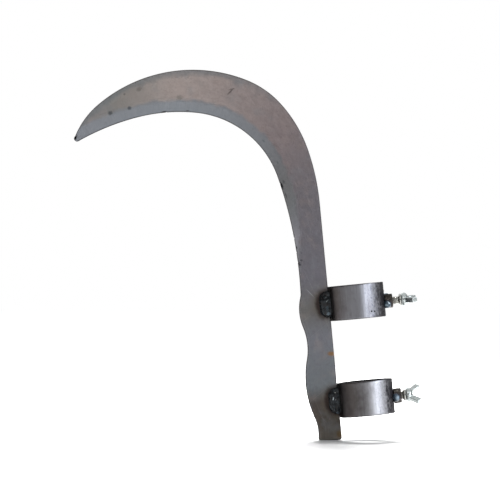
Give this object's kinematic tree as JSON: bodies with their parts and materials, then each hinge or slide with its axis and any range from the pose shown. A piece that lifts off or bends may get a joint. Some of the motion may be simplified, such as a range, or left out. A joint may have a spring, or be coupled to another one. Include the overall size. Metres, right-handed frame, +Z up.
{
  "type": "pole sickle head",
  "caption": "Curved steel sickle blade with a wavy tang, welded to two short tube rings that slide over a pole and clamp it with wing bolts.",
  "frame": {"origin": "on the pole's axis, half way between the two rings, in the middle plane of the blade", "axes": "+Z up along the pole's axis towards the blade's crown, -X to the blade, +X to the wing bolts, Y across the blade's thickness"},
  "size_m": [0.3305, 0.056, 0.3876],
  "materials": {
    "blade_steel": "hot-rolled sheet steel, greyish brown, with a bluish ground bevel along the cutting edge",
    "ring_steel": "cold-drawn steel tube, satin, heat-darkened beside the welds",
    "weld_metal": "blue-black glossy weld scale",
    "nut_steel": "black oxide, heat-stained",
    "zinc_plated_steel": "bright zinc plating, satin"
  },
  "bodies": {
    "root": {"blade": "blade_steel", "upper_ring": "ring_steel", "lower_ring": "ring_steel", "upper_front_weld": "weld_metal", "upper_back_weld": "weld_metal", "lower_front_weld": "weld_metal", "lower_back_weld": "weld_metal", "upper_nut": "nut_steel", "lower_nut": "nut_steel", "upper_nut_front_tack": "weld_metal", "upper_nut_back_tack": "weld_metal", "lower_nut_front_tack": "weld_metal", "lower_nut_back_tack": "weld_metal"},
    "upper_stud": {"upper_bolt_stud": "zinc_plated_steel"},
    "upper_wings": {"upper_bolt_wings": "zinc_plated_steel"},
    "lower_stud": {"lower_bolt_stud": "zinc_plated_steel"},
    "lower_wings": {"lower_bolt_wings": "zinc_plated_steel"}
  },
  "joints": [
    {"name": "upper_bolt_travel", "type": "slide", "parent": "root", "child": "upper_stud", "axis": [-1, 0, 0], "range_m": [-0.00494, 0.00529]},
    {"name": "upper_bolt_turn", "type": "hinge", "parent": "upper_stud", "child": "upper_wings", "pos_m": [0.05, 0, 0.0465], "axis": [-1, 0, 0], "range_deg": [-1260, 1350]},
    {"name": "lower_bolt_travel", "type": "slide", "parent": "root", "child": "lower_stud", "axis": [-1, 0, 0], "range_m": [-0.00917, 0.00088]},
    {"name": "lower_bolt_turn", "type": "hinge", "parent": "lower_stud", "child": "lower_wings", "pos_m": [0.046, 0, -0.0497], "axis": [-1, 0, 0], "range_deg": [-2340, 225]}
  ],
  "couplings": [
    {"joint": "upper_bolt_travel", "follows": "upper_bolt_turn", "m_per_rad": 0.00022459},
    {"joint": "lower_bolt_travel", "follows": "lower_bolt_turn", "m_per_rad": 0.00022459}
  ]
}
